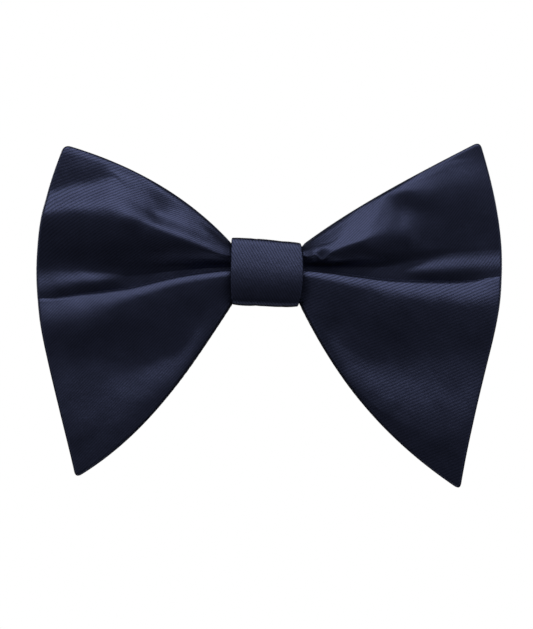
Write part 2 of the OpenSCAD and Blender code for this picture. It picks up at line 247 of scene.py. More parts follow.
def satin_twill(name, rib_pitch, lean, painted_dimming=1.0):
    """Navy satin twill, darker all over where the dimming argument is below 1, which is painted shade.

    Each rib keeps u * cos(lean) + v * sin(lean) the same on the cloth UV map. rib_pitch is in millimetres.
    """
    n = Nodes(name)
    uv = n.add("UVMap", uv_map=CLOTH_UV).outputs[0]
    split = n.add("SeparateXYZ")
    n.link(uv, split.inputs[0])
    u, v = split.outputs[0], split.outputs[1]
    turns = UV_MM / rib_pitch
    across_u = n.math("MULTIPLY", u, math.cos(lean) * turns)
    across_v = n.math("MULTIPLY", v, math.sin(lean) * turns)
    across = n.math("ADD", across_u, across_v)
    wobble = n.math("MULTIPLY", n.noise(uv, 2.6, 3.0), 0.55)
    across = n.math("ADD", across, wobble)
    wave = n.math("ABSOLUTE", n.math("SINE", n.math("MULTIPLY", across, math.pi)))
    fibres = n.noise(uv, 15.0, 2.0, 0.6)
    breaks = n.math("ADD", n.math("MULTIPLY", fibres, 0.9), 0.55)
    rib = n.math("MULTIPLY", n.math("POWER", wave, 0.7), breaks)
    along_v = n.math("MULTIPLY", v, math.cos(lean) * turns)
    along_u = n.math("MULTIPLY", u, math.sin(lean) * turns)
    along_rib = n.math("SUBTRACT", along_v, along_u)
    yarn_phase = n.math("ADD", n.math("MULTIPLY", along_rib, 2.2), n.math("MULTIPLY", across, 0.5))
    yarn = n.math("ABSOLUTE", n.math("SINE", n.math("MULTIPLY", yarn_phase, math.pi)))
    slub = n.noise(uv, 1.1, 3.0, 0.6)
    # The base colour paints shade between the ribs and a highlight on them, and varies at random with the slubs.
    shade = n.math("ADD", n.math("MULTIPLY", rib, 0.70), n.math("MULTIPLY", slub, 0.30))
    groove_painted_shade, rib_painted_highlight = ((*(painted_dimming * k for k in rgb), 1) for rgb in NAVY)
    n.link(n.mix(shade, groove_painted_shade, rib_painted_highlight), n.bsdf.inputs["Base Color"])
    base_roughness = n.math("ADD", n.math("MULTIPLY", slub, 0.08), SATIN_ROUGHNESS)
    roughness = n.math("ADD", n.math("MULTIPLY", rib, -0.08), base_roughness)
    n.link(roughness, n.bsdf.inputs["Roughness"])
    height = n.math("ADD", rib, n.math("MULTIPLY", yarn, 0.22))
    coarse = n.bump(n.noise(uv, 1.6, 4.0, 0.55), 0.00022, 0.6)
    n.link(n.bump(height, 0.00010, 0.22, coarse), n.bsdf.inputs["Normal"])
    n.bsdf.inputs["Metallic"].default_value = 0.85
    n.bsdf.inputs["Specular IOR Level"].default_value = 0.35
    n.bsdf.inputs["Sheen Weight"].default_value = 0.02
    n.bsdf.inputs["Sheen Roughness"].default_value = 0.35
    n.bsdf.inputs["Sheen Tint"].default_value = (0.40, 0.44, 0.80, 1)
    return n.material


def object_place(n):
    """Coordinates that stay with the piece when it moves."""
    return n.add("TexCoord").outputs["Object"]


def stretched(n, vector, scale):
    """The vector with its axes scaled, for streaks."""
    node = n.add("Mapping")
    node.inputs["Scale"].default_value = scale
    n.link(vector, node.inputs["Vector"])
    return node.outputs[0]


def make_nickel(name, tint, rough):
    """Bright nickel plate on pressed steel, with faint drawing marks, smudges and small dents."""
    n = Nodes(name)
    place = object_place(n)
    smudge = n.noise(place, 260.0, 4.0, 0.6)
    marks = n.noise(stretched(n, place, (300.0, 2600.0, 2600.0)), 1.0, 3.0, 0.65)
    dull = tuple(0.80 * c for c in tint)
    n.link(n.mix(smudge, dull + (1,), tint + (1,)), n.bsdf.inputs["Base Color"])
    n.bsdf.inputs["Metallic"].default_value = 1.0
    spread = n.math("ADD", n.math("MULTIPLY", smudge, 0.16), n.math("MULTIPLY", marks, 0.14))
    n.link(n.math("ADD", spread, rough), n.bsdf.inputs["Roughness"])
    n.link(n.bump(marks, 0.00001, 0.8, n.bump(smudge, 0.00003, 0.5)), n.bsdf.inputs["Normal"])
    return n.material


def make_vinyl():
    """Matt grey grip pad, finely pebbled."""
    n = Nodes("grip_vinyl")
    place = object_place(n)
    grain = n.noise(place, 5200.0, 2.0)
    cloud = n.noise(place, 600.0, 3.0)
    n.link(n.mix(cloud, (0.030, 0.031, 0.034, 1), (0.060, 0.061, 0.066, 1)), n.bsdf.inputs["Base Color"])
    n.link(n.math("ADD", n.math("MULTIPLY", grain, 0.2), 0.45), n.bsdf.inputs["Roughness"])
    n.link(n.bump(grain, 0.00003, 0.8), n.bsdf.inputs["Normal"])
    return n.material


def make_thread():
    """Twisted polyester thread."""
    n = Nodes("navy_thread")
    place = object_place(n)
    turn = n.add("TexWave", wave_type="BANDS", bands_direction="DIAGONAL", Scale=620.0, Distortion=1.5)
    n.link(place, turn.inputs["Vector"])
    colour = n.mix(turn.outputs["Fac"], (0.004, 0.005, 0.010, 1), (0.020, 0.023, 0.045, 1))
    n.link(colour, n.bsdf.inputs["Base Color"])
    n.bsdf.inputs["Roughness"].default_value = 0.55
    n.bsdf.inputs["Sheen Weight"].default_value = 0.2
    n.link(n.bump(turn.outputs["Fac"], 0.00005, 0.8), n.bsdf.inputs["Normal"])
    return n.material


def make_felt():
    """Off-white interlining: a bonded web of short fibres."""
    n = Nodes("interlining_felt")
    place = object_place(n)
    web = n.noise(place, 2400.0, 6.0, 0.75)
    cloud = n.noise(place, 180.0, 3.0)
    n.link(n.mix(cloud, (0.56, 0.55, 0.51, 1), (0.70, 0.69, 0.66, 1)), n.bsdf.inputs["Base Color"])
    n.bsdf.inputs["Roughness"].default_value = 0.9
    n.bsdf.inputs["Sheen Weight"].default_value = 0.3
    n.link(n.bump(web, 0.00008, 0.9), n.bsdf.inputs["Normal"])
    return n.material


bow_satin = satin_twill("bow_satin", 0.74, math.radians(-45))
# The knot's copy of the satin is darkened by 0.90 as painted shade.
knot_satin = satin_twill("knot_satin", 0.84, math.radians(30), 0.90)
nickel = make_nickel("nickel_plate", (0.70, 0.68, 0.64), 0.16)
spring_wire = make_nickel("spring_wire", (0.46, 0.46, 0.46), 0.22)
vinyl = make_vinyl()
thread = make_thread()
felt = make_felt()


# ---------------------------------------------------------------- curves
def bezier(points, u):
    """Points of a cubic Bezier curve at the parameters u."""
    p = np.array(points, float)
    u = np.asarray(u, float)[:, None]
    v = 1 - u
    return v**3 * p[0] + 3 * u * v**2 * p[1] + 3 * u * u * v * p[2] + u**3 * p[3]


def lengths(line):
    """How far each point of a polyline is along it."""
    return np.concatenate([[0], np.cumsum(np.linalg.norm(np.diff(line, axis=0), axis=1))])


def along(line, at):
    """Points of a polyline at the given distances from its start."""
    done = lengths(line)
    return np.stack([np.interp(at, done, line[:, k]) for k in range(line.shape[1])], axis=1)


def smooth(k):
    """An ease from 0 to 1 as k goes from 0 to 1."""
    k = np.clip(k, 0, 1)
    return k * k * (3 - 2 * k)


def pchip(knots, values, at):
    """Shape-preserving cubic through each row's knots, which rise along the row, at one place per row."""
    step = np.diff(knots, axis=1)
    slope = np.diff(values, axis=1) / step
    before, after = slope[:, :-1], slope[:, 1:]
    total = np.where(np.abs(before + after) < 1e-9, 1e-9, before + after)
    inner = np.where(before * after > 0, 2 * before * after / total, 0)
    tangent = np.concatenate([slope[:, :1], inner, slope[:, -1:]], axis=1)
    k = np.clip((knots[:, 1:-1] < at[:, None]).sum(1), 0, knots.shape[1] - 2)
    row = np.arange(len(at))
    h = step[row, k]
    t = np.clip((at - knots[row, k]) / h, 0, 1)
    a, b = values[row, k], values[row, k + 1]
    ta, tb = tangent[row, k] * h, tangent[row, k + 1] * h
    start = (2 * t**3 - 3 * t**2 + 1) * a + (t**3 - 2 * t**2 + t) * ta
    return start + (3 * t**2 - 2 * t**3) * b + (t**3 - t**2) * tb


def through(points, at):
    """A smooth curve y(x) through given points, held level past its ends."""
    p = np.array(points, float)
    n = len(at)
    return pchip(np.tile(p[:, 0], (n, 1)), np.tile(p[:, 1], (n, 1)), np.clip(at, p[0, 0], p[-1, 0]))


# ---------------------------------------------------------------- the bow's outline
# Corners and handles of each wing's upper, outer and lower edges, in [x, z]; the neck is under the knot
LEFT = {
    "neck_up": [(-9.6, 8.5), (-11.4, 8.9)],
    "upper": [(-12.6, 10.4), (-26.6, 25.3), (-44.6, 35.2), (-65.6, 41.2)],
    "outer": [(-65.6, 41.2), (-83.1, -1.0), (-71.5, -22.5), (-61.5, -66.0)],
    "lower": [(-11.6, -10.6), (-25.2, -31.6), (-38.4, -52.4), (-61.5, -66.0)],
    "neck_low": [(-9.6, -8.2), (-10.9, -8.9)],
}
RIGHT = {
    "neck_up": [(9.6, 7.8), (10.9, 8.2)],
    "upper": [(11.9, 9.4), (28.5, 21.6), (46.9, 31.2), (68.4, 42.2)],
    "outer": [(68.4, 42.2), (84.4, -9.0), (69.8, -18.8), (61.6, -69.8)],
    "lower": [(10.7, -11.2), (22.4, -35.0), (36.8, -53.4), (61.6, -69.8)],
    "neck_low": [(9.2, -8.9), (10.1, -9.6)],
}
CORNER_CUT = 2.3        # how far from a corner its rounding starts
SIDE_POINTS = 241       # points along each side of a wing
COLUMNS = 120           # grid steps from the waist to a wing's outer side
WAIST_COLUMNS = 10      # grid steps across the waist


def rounded_sides(wing):
    """The wing's upper, outer and lower sides as polylines that meet in the middle of its rounded corners."""
    u = np.linspace(0, 1, SIDE_POINTS)
    upper, outer, lower = (bezier(wing[k], u) for k in ("upper", "outer", "lower"))

    def corner(a, b):
        """The two halves of the arc that rounds the corner which both lines end in."""
        end = np.array([a[-1]])
        first = along(a, [lengths(a)[-1] - CORNER_CUT])
        second = along(b, [lengths(b)[-1] - CORNER_CUT])
        t = np.linspace(0, 1, 17)[:, None]
        arc = (1 - t) ** 2 * first + 2 * t * (1 - t) * end + t**2 * second
        return arc[:9], arc[:7:-1]

    def cut(line, start, stop):
        """The line without its first start and last stop millimetres."""
        total = lengths(line)[-1]
        return along(line, np.linspace(start, total - stop, SIDE_POINTS))

    upper_arc, outer_top_arc = corner(upper, outer[::-1])
    lower_arc, outer_low_arc = corner(lower, outer)
    upper_side = np.concatenate([wing["neck_up"], cut(upper, 0, CORNER_CUT), upper_arc[1:]])
    lower_side = np.concatenate([wing["neck_low"], cut(lower, 0, CORNER_CUT), lower_arc[1:]])
    middle = cut(outer[::-1], CORNER_CUT, CORNER_CUT)[1:-1]
    outer_side = np.concatenate([outer_low_arc[::-1], middle, outer_top_arc])
    return upper_side, outer_side, lower_side


def wing_surface(sides, rows=400):
    """A grid of points in [x, z] that fills the wing.

    Its columns run from the waist to the outer side, and its rows from the lower to the upper edge.
    """
    upper, outer, lower = sides
    s = 1 - (1 - np.linspace(0, 1, COLUMNS + 1)) ** 1.25
    t = np.linspace(0, 1, rows + 1)
    up = along(upper, s * lengths(upper)[-1])
    low = along(lower, s * lengths(lower)[-1])
    far = along(outer, t * lengths(outer)[-1])
    near = low[0] + t[:, None] * (up[0] - low[0])
    s, t = s[:, None, None], t[None, :, None]
    across = low[:, None] * (1 - t) + up[:, None] * t
    out = near[None] * (1 - s) + far[None] * s
    corners = (low[0] * (1 - t) + up[0] * t) * (1 - s) + (low[-1] * (1 - t) + up[-1] * t) * s
    return across + out - corners


def distance_to(points, line):
    """How far each point is from a polyline."""
    flat = points.reshape(-1, 2)
    best = np.full(len(flat), np.inf)
    for a, b in zip(line[:-1], line[1:]):
        d = b - a
        t = np.clip(((flat - a) @ d) / max(d @ d, 1e-12), 0, 1)
        best = np.minimum(best, ((flat - a - t[:, None] * d) ** 2).sum(1))
    return np.sqrt(best).reshape(points.shape[:-1])


# ---------------------------------------------------------------- the folds
# Fold lines from top to bottom. Each runs outwards from the knot, as
# (distance from the middle, z, height of the cloth's face in front of the seam)
LEFT_FOLDS = {
    "corner": [(11, 8.3, 1.1), (20, 15.6, 1.3), (30, 22.9, 1.5), (35, 26.2, 1.4), (40, 29.2, 1.1), (48, 32.4, 1.2),
               (54, 35.0, 1.3), (64, 37.6, 1.2), (76, 39.0, 1.0)],
    "spot": [(11, 8.1, 1.4), (20, 13.8, 2.3), (30, 20.0, 2.1), (35, 22.2, 1.9), (40, 25.6, 2.0), (45, 29.0, 2.0),
             (50, 32.0, 1.5), (60, 33.4, 1.4), (76, 33.0, 1.1)],
    "brow": [(11, 7.7, 1.9), (15, 9.6, 2.8), (20, 11.8, 3.3), (25, 14.4, 3.4), (30, 17.0, 3.0), (35, 19.4, 2.3),
             (40, 22.2, 3.0), (45, 26.0, 2.8), (50, 30.2, 1.7), (60, 29.0, 1.3), (70, 26.8, 1.2), (76, 26.0, 1.1)],
    "ridge": [(11, 5.2, 3.3), (15, 5.9, 4.6), (20, 7.8, 5.3), (25, 9.6, 5.7), (30, 11.4, 5.8), (35, 13.4, 5.6),
              (40, 15.4, 5.8), (45, 17.0, 6.2), (50, 18.2, 5.7), (60, 18.8, 4.7), (70, 18.0, 3.9), (76, 17.0, 3.4)],
    "slide": [(11, 3.8, 2.4), (20, 5.4, 4.3), (30, 7.4, 4.6), (45, 9.4, 4.6), (60, 10.0, 3.3), (70, 9.0, 2.6),
              (76, 9.0, 2.3)],
    "valley": [(11, 1.9, 0.5), (15, 1.7, 0.5), (20, 1.4, 0.5), (30, 0.6, 0.5), (40, -0.4, 0.6), (45, -0.8, 0.6),
               (50, 0.0, 0.7), (55, 0.5, 0.8), (60, 0.7, 0.9), (70, 0.7, 1.0), (76, 0.7, 1.0)],
    "strip": [(11, 1.7, 0.45), (20, 1.1, 0.45), (30, -0.2, 0.45), (40, -2.0, 0.45), (45, -2.8, 0.45), (49, -2.5, 0.8),
              (55, -3.1, 1.5), (60, -3.6, 1.8), (66, -4.8, 2.0), (70, -5.8, 2.1), (76, -6.4, 2.1)],
    "crease": [(11, 1.0, 0.4), (20, 0.3, 0.4), (30, -1.4, 0.4), (40, -3.8, 0.4), (45, -4.9, 0.4), (50, -5.6, 0.45),
               (55, -6.3, 0.8), (60, -6.9, 1.2), (66, -7.8, 1.6), (70, -8.4, 2.0), (76, -8.6, 2.1)],
    "brink": [(11, 0.6, 1.8), (15, 0.3, 2.4), (20, -0.3, 2.8), (30, -1.9, 3.1), (40, -4.3, 3.0), (45, -5.4, 2.9),
              (50, -6.1, 2.7), (55, -6.8, 2.4), (60, -7.4, 2.2), (66, -8.3, 2.3), (70, -8.9, 2.3), (76, -9.2, 2.2)],
    "lip": [(11, -1.2, 2.5), (15, -1.9, 3.2), (20, -2.8, 3.6), (30, -5.0, 4.0), (40, -8.0, 4.1), (45, -10.0, 4.2),
            (60, -16.5, 4.2), (70, -17.5, 3.8), (76, -18.0, 3.3)],
    "hollow": [(11, -5.0, 2.2), (20, -14.5, 3.0), (30, -25.5, 3.0), (45, -29.0, 3.1), (60, -28.0, 3.4),
               (70, -28.0, 3.3), (76, -28.0, 3.1)],
    "belly": [(11, -7.6, 1.9), (20, -20.5, 3.1), (30, -35.0, 4.2), (45, -45.5, 5.3), (60, -50.0, 5.4),
              (70, -51.0, 4.9), (76, -51.0, 4.5)],
}
RIGHT_FOLDS = {
    "rise": [(11, 7.7, 1.1), (15, 10.6, 1.5), (20, 13.8, 1.3), (25, 17.0, 1.3), (30, 19.8, 1.2), (40, 25.8, 1.5),
             (50, 30.6, 1.1), (60, 35.6, 0.85), (66, 36.5, 0.7), (70, 37.0, 0.65), (76, 37.0, 0.65)],
    "shoulder": [(11, 7.2, 1.6), (15, 8.4, 3.2), (20, 9.4, 4.1), (25, 13.0, 3.4), (30, 16.0, 2.9), (35, 18.6, 2.8),
                 (39, 23.4, 1.8), (45, 25.6, 1.9), (50, 24.8, 2.0), (60, 27.4, 1.75), (70, 28.0, 1.2),
                 (76, 28.0, 1.0)],
    "dent": [(11, 7.0, 2.1), (15, 7.2, 4.0), (20, 8.0, 4.9), (25, 10.4, 4.4), (30, 12.0, 4.5), (35, 15.0, 3.6),
             (40, 20.4, 2.2), (44, 20.8, 1.6), (50, 18.4, 1.4), (60, 17.6, 1.3), (70, 18.0, 1.2), (76, 18.0, 1.1)],
    "ridge": [(11, 5.4, 3.2), (13.5, 5.2, 4.2), (15.2, 5.6, 4.8), (17.2, 4.0, 4.5), (20, 6.0, 5.6), (25, 8.1, 5.3),
              (30, 9.6, 5.3), (35, 11.0, 4.4), (40, 12.0, 3.5), (45, 11.8, 2.6), (50, 11.4, 1.3), (55, 10.6, 1.1),
              (60, 10.0, 0.95), (70, 10.6, 0.9), (76, 11.0, 0.9)],
    "slide": [(11, 3.6, 2.0), (20, 3.6, 3.6), (30, 5.2, 3.5), (40, 6.4, 2.4), (45, 7.0, 1.8), (50, 7.6, 1.2),
              (60, 8.0, 0.9), (70, 9.0, 0.85), (76, 9.0, 0.85)],
    "valley": [(11, 1.9, 0.5), (20, 1.7, 0.6), (30, 1.8, 0.6), (40, 2.0, 0.5), (45, 2.4, 0.4), (50, 3.6, 0.4),
               (55, 5.0, 0.6), (60, 6.0, 0.8), (70, 6.8, 0.8), (76, 7.2, 0.8)],
    "strip": [(11, 1.7, 0.45), (20, 1.2, 0.5), (30, 1.0, 0.5), (40, 0.5, 0.45), (45, 0.0, 0.6), (50, 0.2, 1.0),
              (55, 0.4, 1.4), (60, 0.6, 1.7), (70, 0.9, 1.8), (76, 1.2, 1.8)],
    "crease": [(11, 0.9, 0.4), (20, 0.2, 0.4), (30, -1.2, 0.4), (40, -2.3, 0.4), (45, -2.6, 0.4), (50, -2.7, 0.45),
               (55, -2.8, 0.7), (60, -2.9, 1.0), (66, -2.6, 1.4), (70, -2.0, 1.7), (76, -1.2, 1.8)],
    "brink": [(11, 0.5, 1.8), (15, 0.2, 2.4), (20, -0.4, 2.8), (30, -1.7, 3.0), (40, -2.8, 2.9), (50, -3.2, 2.6),
              (60, -3.4, 2.3), (66, -3.1, 2.1), (70, -2.5, 2.0), (76, -1.6, 1.9)],
    "lip": [(11, -1.4, 2.6), (15, -2.2, 3.2), (20, -3.4, 3.7), (30, -6.0, 4.1), (40, -8.4, 4.3), (50, -9.8, 4.4),
            (60, -10.8, 4.3), (70, -12.0, 4.0), (76, -12.5, 3.6)],
    "hollow": [(11, -6.0, 2.3), (20, -18.5, 3.0), (30, -26.0, 3.0), (45, -27.5, 3.4), (60, -27.0, 3.7),
               (70, -27.0, 3.7), (76, -27.0, 3.6)],
    "belly": [(11, -9.0, 2.1), (20, -24.5, 3.1), (30, -39.0, 4.7), (45, -48.5, 5.9), (60, -53.0, 6.4),
              (70, -53.0, 5.8), (76, -53.0, 5.2)],
}
# Grid rows in each step from the lower edge, up through the fold lines, to the upper edge
ROWS = [26, 16, 16, 11, 5, 6, 7, 8, 9, 11, 7, 6, 11]
CREASE_STEP = 5         # the main crease is this many steps above the lower edge
CREASE_ROW = sum(ROWS[:CREASE_STEP])
CREASE_GUARD = 0.06     # an extra row lies this share of a step to each side of the crease
LEAST_STEP = 0.002      # share of a column's height that fold lines keep between them
RIM = 0.35              # half the thickness of the bow at its very edge
EDGE_ROLL = 0.9         # how far in from the edge the turned seam rounds over
# The cloth's height just inside the lower edge, as (distance from the middle, height), and the upper edge
LOWER_EDGE = [(11, 1.3), (20, 2.9), (30, 4.2), (45, 5.6), (60, 6.1), (76, 5.2)]
UPPER_EDGE = 0.6
LEAST_HEIGHT = 0.4      # the cloth comes no closer to the seam plane
SEAM_FLOAT = 2.2        # how far the outer and lower seams lie behind the folds that run out to them
OUTER_REACH = 30.0      # how far in from the outer edge the seam plane is bent towards those folds
LOWER_REACH = 24.0      # and how far in from the lower edge
BACK_MOST = 2.75        # the back panel goes no further behind the seam, which leaves room for the carrier bar
SHELL = 0.45            # thickness of the satin shell
SEAM_GAP = 0.02         # how far each panel's seam stays from the seam between them


def fold_grid(folds, surface):
    """A grid whose rows follow the fold lines, and the cloth's height lofted through them."""
    columns, samples = surface.shape[:2]
    t = np.linspace(0, 1, samples)
    crossings, heights = [np.zeros(columns)], [through(LOWER_EDGE, np.abs(surface[:, 0, 0]))]
    for line in reversed(folds.values()):
        p = np.array(line)
        out = np.abs(surface[..., 0])
        rise = surface[..., 1] - through(p[:, :2], out.ravel()).reshape(out.shape)
        at = np.array([np.interp(0, rise[c], t) for c in range(columns)])
        at = np.maximum(at, crossings[-1] + LEAST_STEP)
        x = np.array([np.interp(at[c], t, out[c]) for c in range(columns)])
        crossings.append(at)
        heights.append(through(p[:, [0, 2]], x))
    crossings.append(np.ones(columns))
    heights.append(np.full(columns, UPPER_EDGE))
    for k in range(len(crossings) - 2, 0, -1):
        crossings[k] = np.minimum(crossings[k], crossings[k + 1] - LEAST_STEP)
    rows = []
    for k, count in enumerate(ROWS):
        f = np.arange(count) / count
        # Rows crowd towards the lower edge, the upper edge and the underside of the crease
        if k == 0:
            f = f**1.6
        if k == len(ROWS) - 1:
            f = 1 - (1 - f) ** 1.4
        if k == CREASE_STEP - 1:
            f = 1 - (1 - f) ** 2
        rows.append(crossings[k][:, None] + (crossings[k + 1] - crossings[k])[:, None] * f)
    rows.append(np.ones((columns, 1)))
    at = np.concatenate(rows, axis=1)
    grid = np.stack([[np.interp(at[c], t, surface[c, :, k]) for c in range(columns)] for k in (0, 1)], axis=-1)
    length = np.stack([lengths(surface[c]) for c in range(columns)])
    knots = np.stack([[np.interp(k[c], t, length[c]) for c in range(columns)] for k in crossings], axis=1)
    place = np.stack([np.interp(at[c], t, length[c]) for c in range(columns)])
    values = np.stack(heights, axis=1)
    # The loft is made apart below and above the crease, so that it keeps a sharp line there
    below = np.s_[: CREASE_STEP + 1], np.s_[:CREASE_ROW]
    above = np.s_[CREASE_STEP:], np.s_[CREASE_ROW:]
    parts = []
    for knot_range, row_range in (below, above):
        here = place[:, row_range]
        count = here.shape[1]
        k, v = (np.repeat(a[:, knot_range], count, axis=0) for a in (knots, values))
        parts.append(pchip(k, v, here.ravel()).reshape(columns, count))
    return grid, np.concatenate(parts, axis=1)


def wrinkles(grid, seed, size):
    """Slow, shallow unevenness of the cloth."""
    flat = grid.reshape(-1, 2)
    values = [noise.noise(Vector((x / size, z / size, seed))) for x, z in flat]
    return np.array(values).reshape(grid.shape[:2])


def blur(values, times):
    """Smooths a grid of heights along its rows and columns, and keeps its border."""
    for _ in range(times):
        inner = values.copy()
        inner[1:-1, 1:-1] = (
            4 * values[1:-1, 1:-1]
            + 2 * (values[:-2, 1:-1] + values[2:, 1:-1] + values[1:-1, :-2] + values[1:-1, 2:])
            + values[:-2, :-2] + values[2:, 2:] + values[:-2, 2:] + values[2:, :-2]
        ) / 16
        values = inner
    return values


def beside_crease(values):
    """Adds a row close to each side of the main crease, so that it shades as a sharp line."""
    i = CREASE_ROW
    below = values[:, i - 1:i] + (values[:, i:i + 1] - values[:, i - 1:i]) * (1 - CREASE_GUARD)
    above = values[:, i:i + 1] + (values[:, i + 1:i + 2] - values[:, i:i + 1]) * CREASE_GUARD
    return np.concatenate([values[:, :i], below, values[:, i:i + 1], above, values[:, i + 1:]], axis=1)


def wing_heights(wing, folds, seed):
    """The wing's grid, and how far its front, its seam and its back stand in front of the seam plane.

    Away from the knot, wrinkles make the cloth uneven. Above the crease, small pleats spread out from the knot.
    """
    sides = rounded_sides(wing)
    grid, loft = fold_grid(folds, wing_surface(sides))
    to_upper, to_outer, to_lower = (distance_to(grid, line) for line in sides)
    to_edge = np.minimum(np.minimum(to_upper, to_outer), to_lower)
    out = np.abs(grid[..., 0])
    away = smooth((out - 11) / 12)
    broad, fine = wrinkles(grid, seed, 15.0), wrinkles(grid, seed + 7, 6.0)
    loft = loft + away * (0.26 * broad + 0.10 * fine)
    turn = np.linspace(0, 1, grid.shape[1])[None] * 2 * math.pi
    pleats = np.sin(8.5 * turn + 1.3) + 0.6 * np.sin(13.3 * turn + 3.8)
    upper_only = smooth((grid[..., 1] - 1) / 5)
    loft = loft + 0.09 * pleats * upper_only * (1 - smooth((out - 9) / 22)) * smooth(to_edge / 3)
    loft = np.concatenate([blur(loft[:, :CREASE_ROW], 1), blur(loft[:, CREASE_ROW:], 1)], axis=1)
    loft = np.maximum(loft, LEAST_HEIGHT)
    roll = np.sqrt(np.clip(1 - (1 - np.clip(to_edge / EDGE_ROLL, 0, 1)) ** 2, 0, 1))
    near = 1 - smooth(np.minimum(to_outer / OUTER_REACH, to_lower / LOWER_REACH))
    seam = near * np.maximum(blur(loft, 14) - SEAM_FLOAT, 0) * smooth(to_upper / 9)
    front = seam + RIM + (loft - seam) * roll
    puff = 0.8 + 1.3 * smooth(to_edge / 12) + 0.25 * wrinkles(grid, seed + 20, 12.0)
    back = seam - np.minimum(RIM + puff * roll, BACK_MOST)
    return tuple(beside_crease(values) for values in (grid, front, seam, back))


def cloth_map(grid, side):
    """Two grids of cloth coordinates in millimetres, for above and for below the main crease.

    u runs across the bow and v up the cloth, which fans out from the knot.
    """
    x, z = grid[..., 0], grid[..., 1]
    if side < 0:
        fan = through([(4, -0.22), (14, -0.35), (30, -0.62), (42, -0.66)], z.ravel()).reshape(z.shape)
        above = z + fan * (np.abs(x) - 58)
        below = z + 0.03 * np.abs(x)
        eased = 1.0
    else:
        fan = through([(0, 0.12), (30, 0.40)], z.ravel()).reshape(z.shape)
        above = z - fan * (np.abs(x) - 58)
        below = z + 0.58 * np.abs(x)
        eased = 0.9
    return eased * np.stack([x, above], axis=-1), np.stack([x, below], axis=-1)


# ---------------------------------------------------------------- meshes
def piece(name, points, faces, material, body="bow"):
    """A smooth mesh object from points in millimetres. It rides on the CAD body, or on none if body is None."""
    mesh = bpy.data.meshes.new(name)
    mesh.from_pydata((np.asarray(points) * MM).tolist(), [], [list(f) for f in faces])
    mesh.shade_smooth()
    mesh.materials.append(material)
    obj = bpy.data.objects.new(name, mesh)
    bpy.context.scene.collection.objects.link(obj)
    if body:
        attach(obj, body)
    return obj


def corner_uv(mesh, uv):
    """Gives each face corner its place on the cloth, in millimetres."""
    layer = mesh.uv_layers.new(name=CLOTH_UV)
    layer.data.foreach_set("uv", (uv / UV_MM).ravel())


def closed_sheet(name, outer, inner, cloth, material, above=None):
    """A closed sheet between two grids of points.

    outer is the one that faces -Y, where the grids' columns go along +X and their rows along +Z. cloth is one grid of
    cloth coordinates. Where above is given, cloth is two such grids, and above says for each cell whether it takes
    the first.
    """
    columns, rows = outer.shape[:2]
    count = columns * rows
    index = np.arange(count).reshape(columns, rows)
    points = np.concatenate([outer.reshape(-1, 3), inner.reshape(-1, 3)])
    a, b, c, d = index[:-1, :-1], index[1:, :-1], index[1:, 1:], index[:-1, 1:]
    near = np.stack([a, b, c, d], axis=-1).reshape(-1, 4)
    rims = []
    for line in (index[:, 0], index[-1, :], index[::-1, -1], index[0, ::-1]):
        p, q = line[:-1], line[1:]
        rims.append(np.stack([p, p + count, q + count, q], axis=-1))
    faces = np.concatenate([near, near[:, ::-1] + count, *rims])
    obj = piece(name, points, faces, material)
    grids = cloth if above is not None else (cloth, cloth)
    values = [np.concatenate([g.reshape(-1, 2)] * 2) for g in grids]
    takes_first = np.zeros(len(faces), bool)
    if above is not None:
        cells = above.reshape(-1)
        takes_first[:len(near)] = cells
        takes_first[len(near):2 * len(near)] = cells
    corners = faces.ravel()
    which = np.repeat(takes_first, 4)
    corner_uv(obj.data, np.where(which[:, None], values[0][corners], values[1][corners]))
    return obj


def in_space(grid, forward):
    """Points of a grid in [x, z], brought forward from the seam plane."""
    return np.stack([grid[..., 0], MID_Y - forward, grid[..., 1]], axis=-1)


def normals(points, facing):
    """Unit normals of a grid of points, turned so that they face the given way along Y."""
    n = np.cross(np.gradient(points, axis=0), np.gradient(points, axis=1))
    n /= np.maximum(np.linalg.norm(n, axis=-1, keepdims=True), 1e-12)
    return n * np.where(n[..., 1:2] * facing < 0, -1, 1)


def strip(left, waist, right):
    """Joins the left wing, turned to run inwards, the waist and the right wing into one grid."""
    return np.concatenate([left[::-1], waist, right])


def between(left, right, squeeze=0.0):
    """Grid values of the waist, between the first columns of the two wings. squeeze narrows its middle."""
    shape = (-1,) + (1,) * left.ndim
    k = np.linspace(0, 1, WAIST_COLUMNS + 1)[1:-1].reshape(shape)
    values = left[None] * (1 - k) + right[None] * k
    if squeeze:
        middle = values.mean(axis=1, keepdims=True)
        values[..., 1:] = (middle + (values - middle) * (1 - squeeze * np.sin(math.pi * k)))[..., 1:]
    return values


left_grid, left_front, left_seam, left_back = wing_heights(LEFT, LEFT_FOLDS, 3.1)
right_grid, right_front, right_seam, right_back = wing_heights(RIGHT, RIGHT_FOLDS, 9.4)
bow_grid = strip(left_grid, between(left_grid[0], right_grid[0], 0.10), right_grid)
front_height, seam_height, back_height = (
    strip(a, between(a[0], b[0]), b)
    for a, b in ((left_front, right_front), (left_seam, right_seam), (left_back, right_back))
)
# Beside the waist thread, which draws in the middle, the gathered front swells to fill the knot, as (z, height)
WAIST_SWELL = [
    (-8.4, 1.2), (-7.2, 3.6), (-5.0, 4.7), (-3.0, 5.0), (0.0, 4.7), (2.5, 4.2), (5.0, 3.6), (6.6, 2.9), (7.6, 1.2),
]


def swell_waist():
    """Brings the front of the waist forward on both sides of the waist thread."""
    waist = slice(left_grid.shape[0], left_grid.shape[0] + WAIST_COLUMNS - 1)
    x, z, height = np.abs(bow_grid[waist, :, 0]), bow_grid[waist, :, 1], front_height[waist]
    row = np.arange(height.shape[1])
    share = smooth((x - 2.6) / 1.6) * smooth((9.4 - x) / 1.6) * smooth(np.minimum(row, row[::-1]) / 6)
    full = np.maximum(height, np.interp(z, *zip(*WAIST_SWELL)))
    front_height[waist] = height + (full - height) * share


swell_waist()


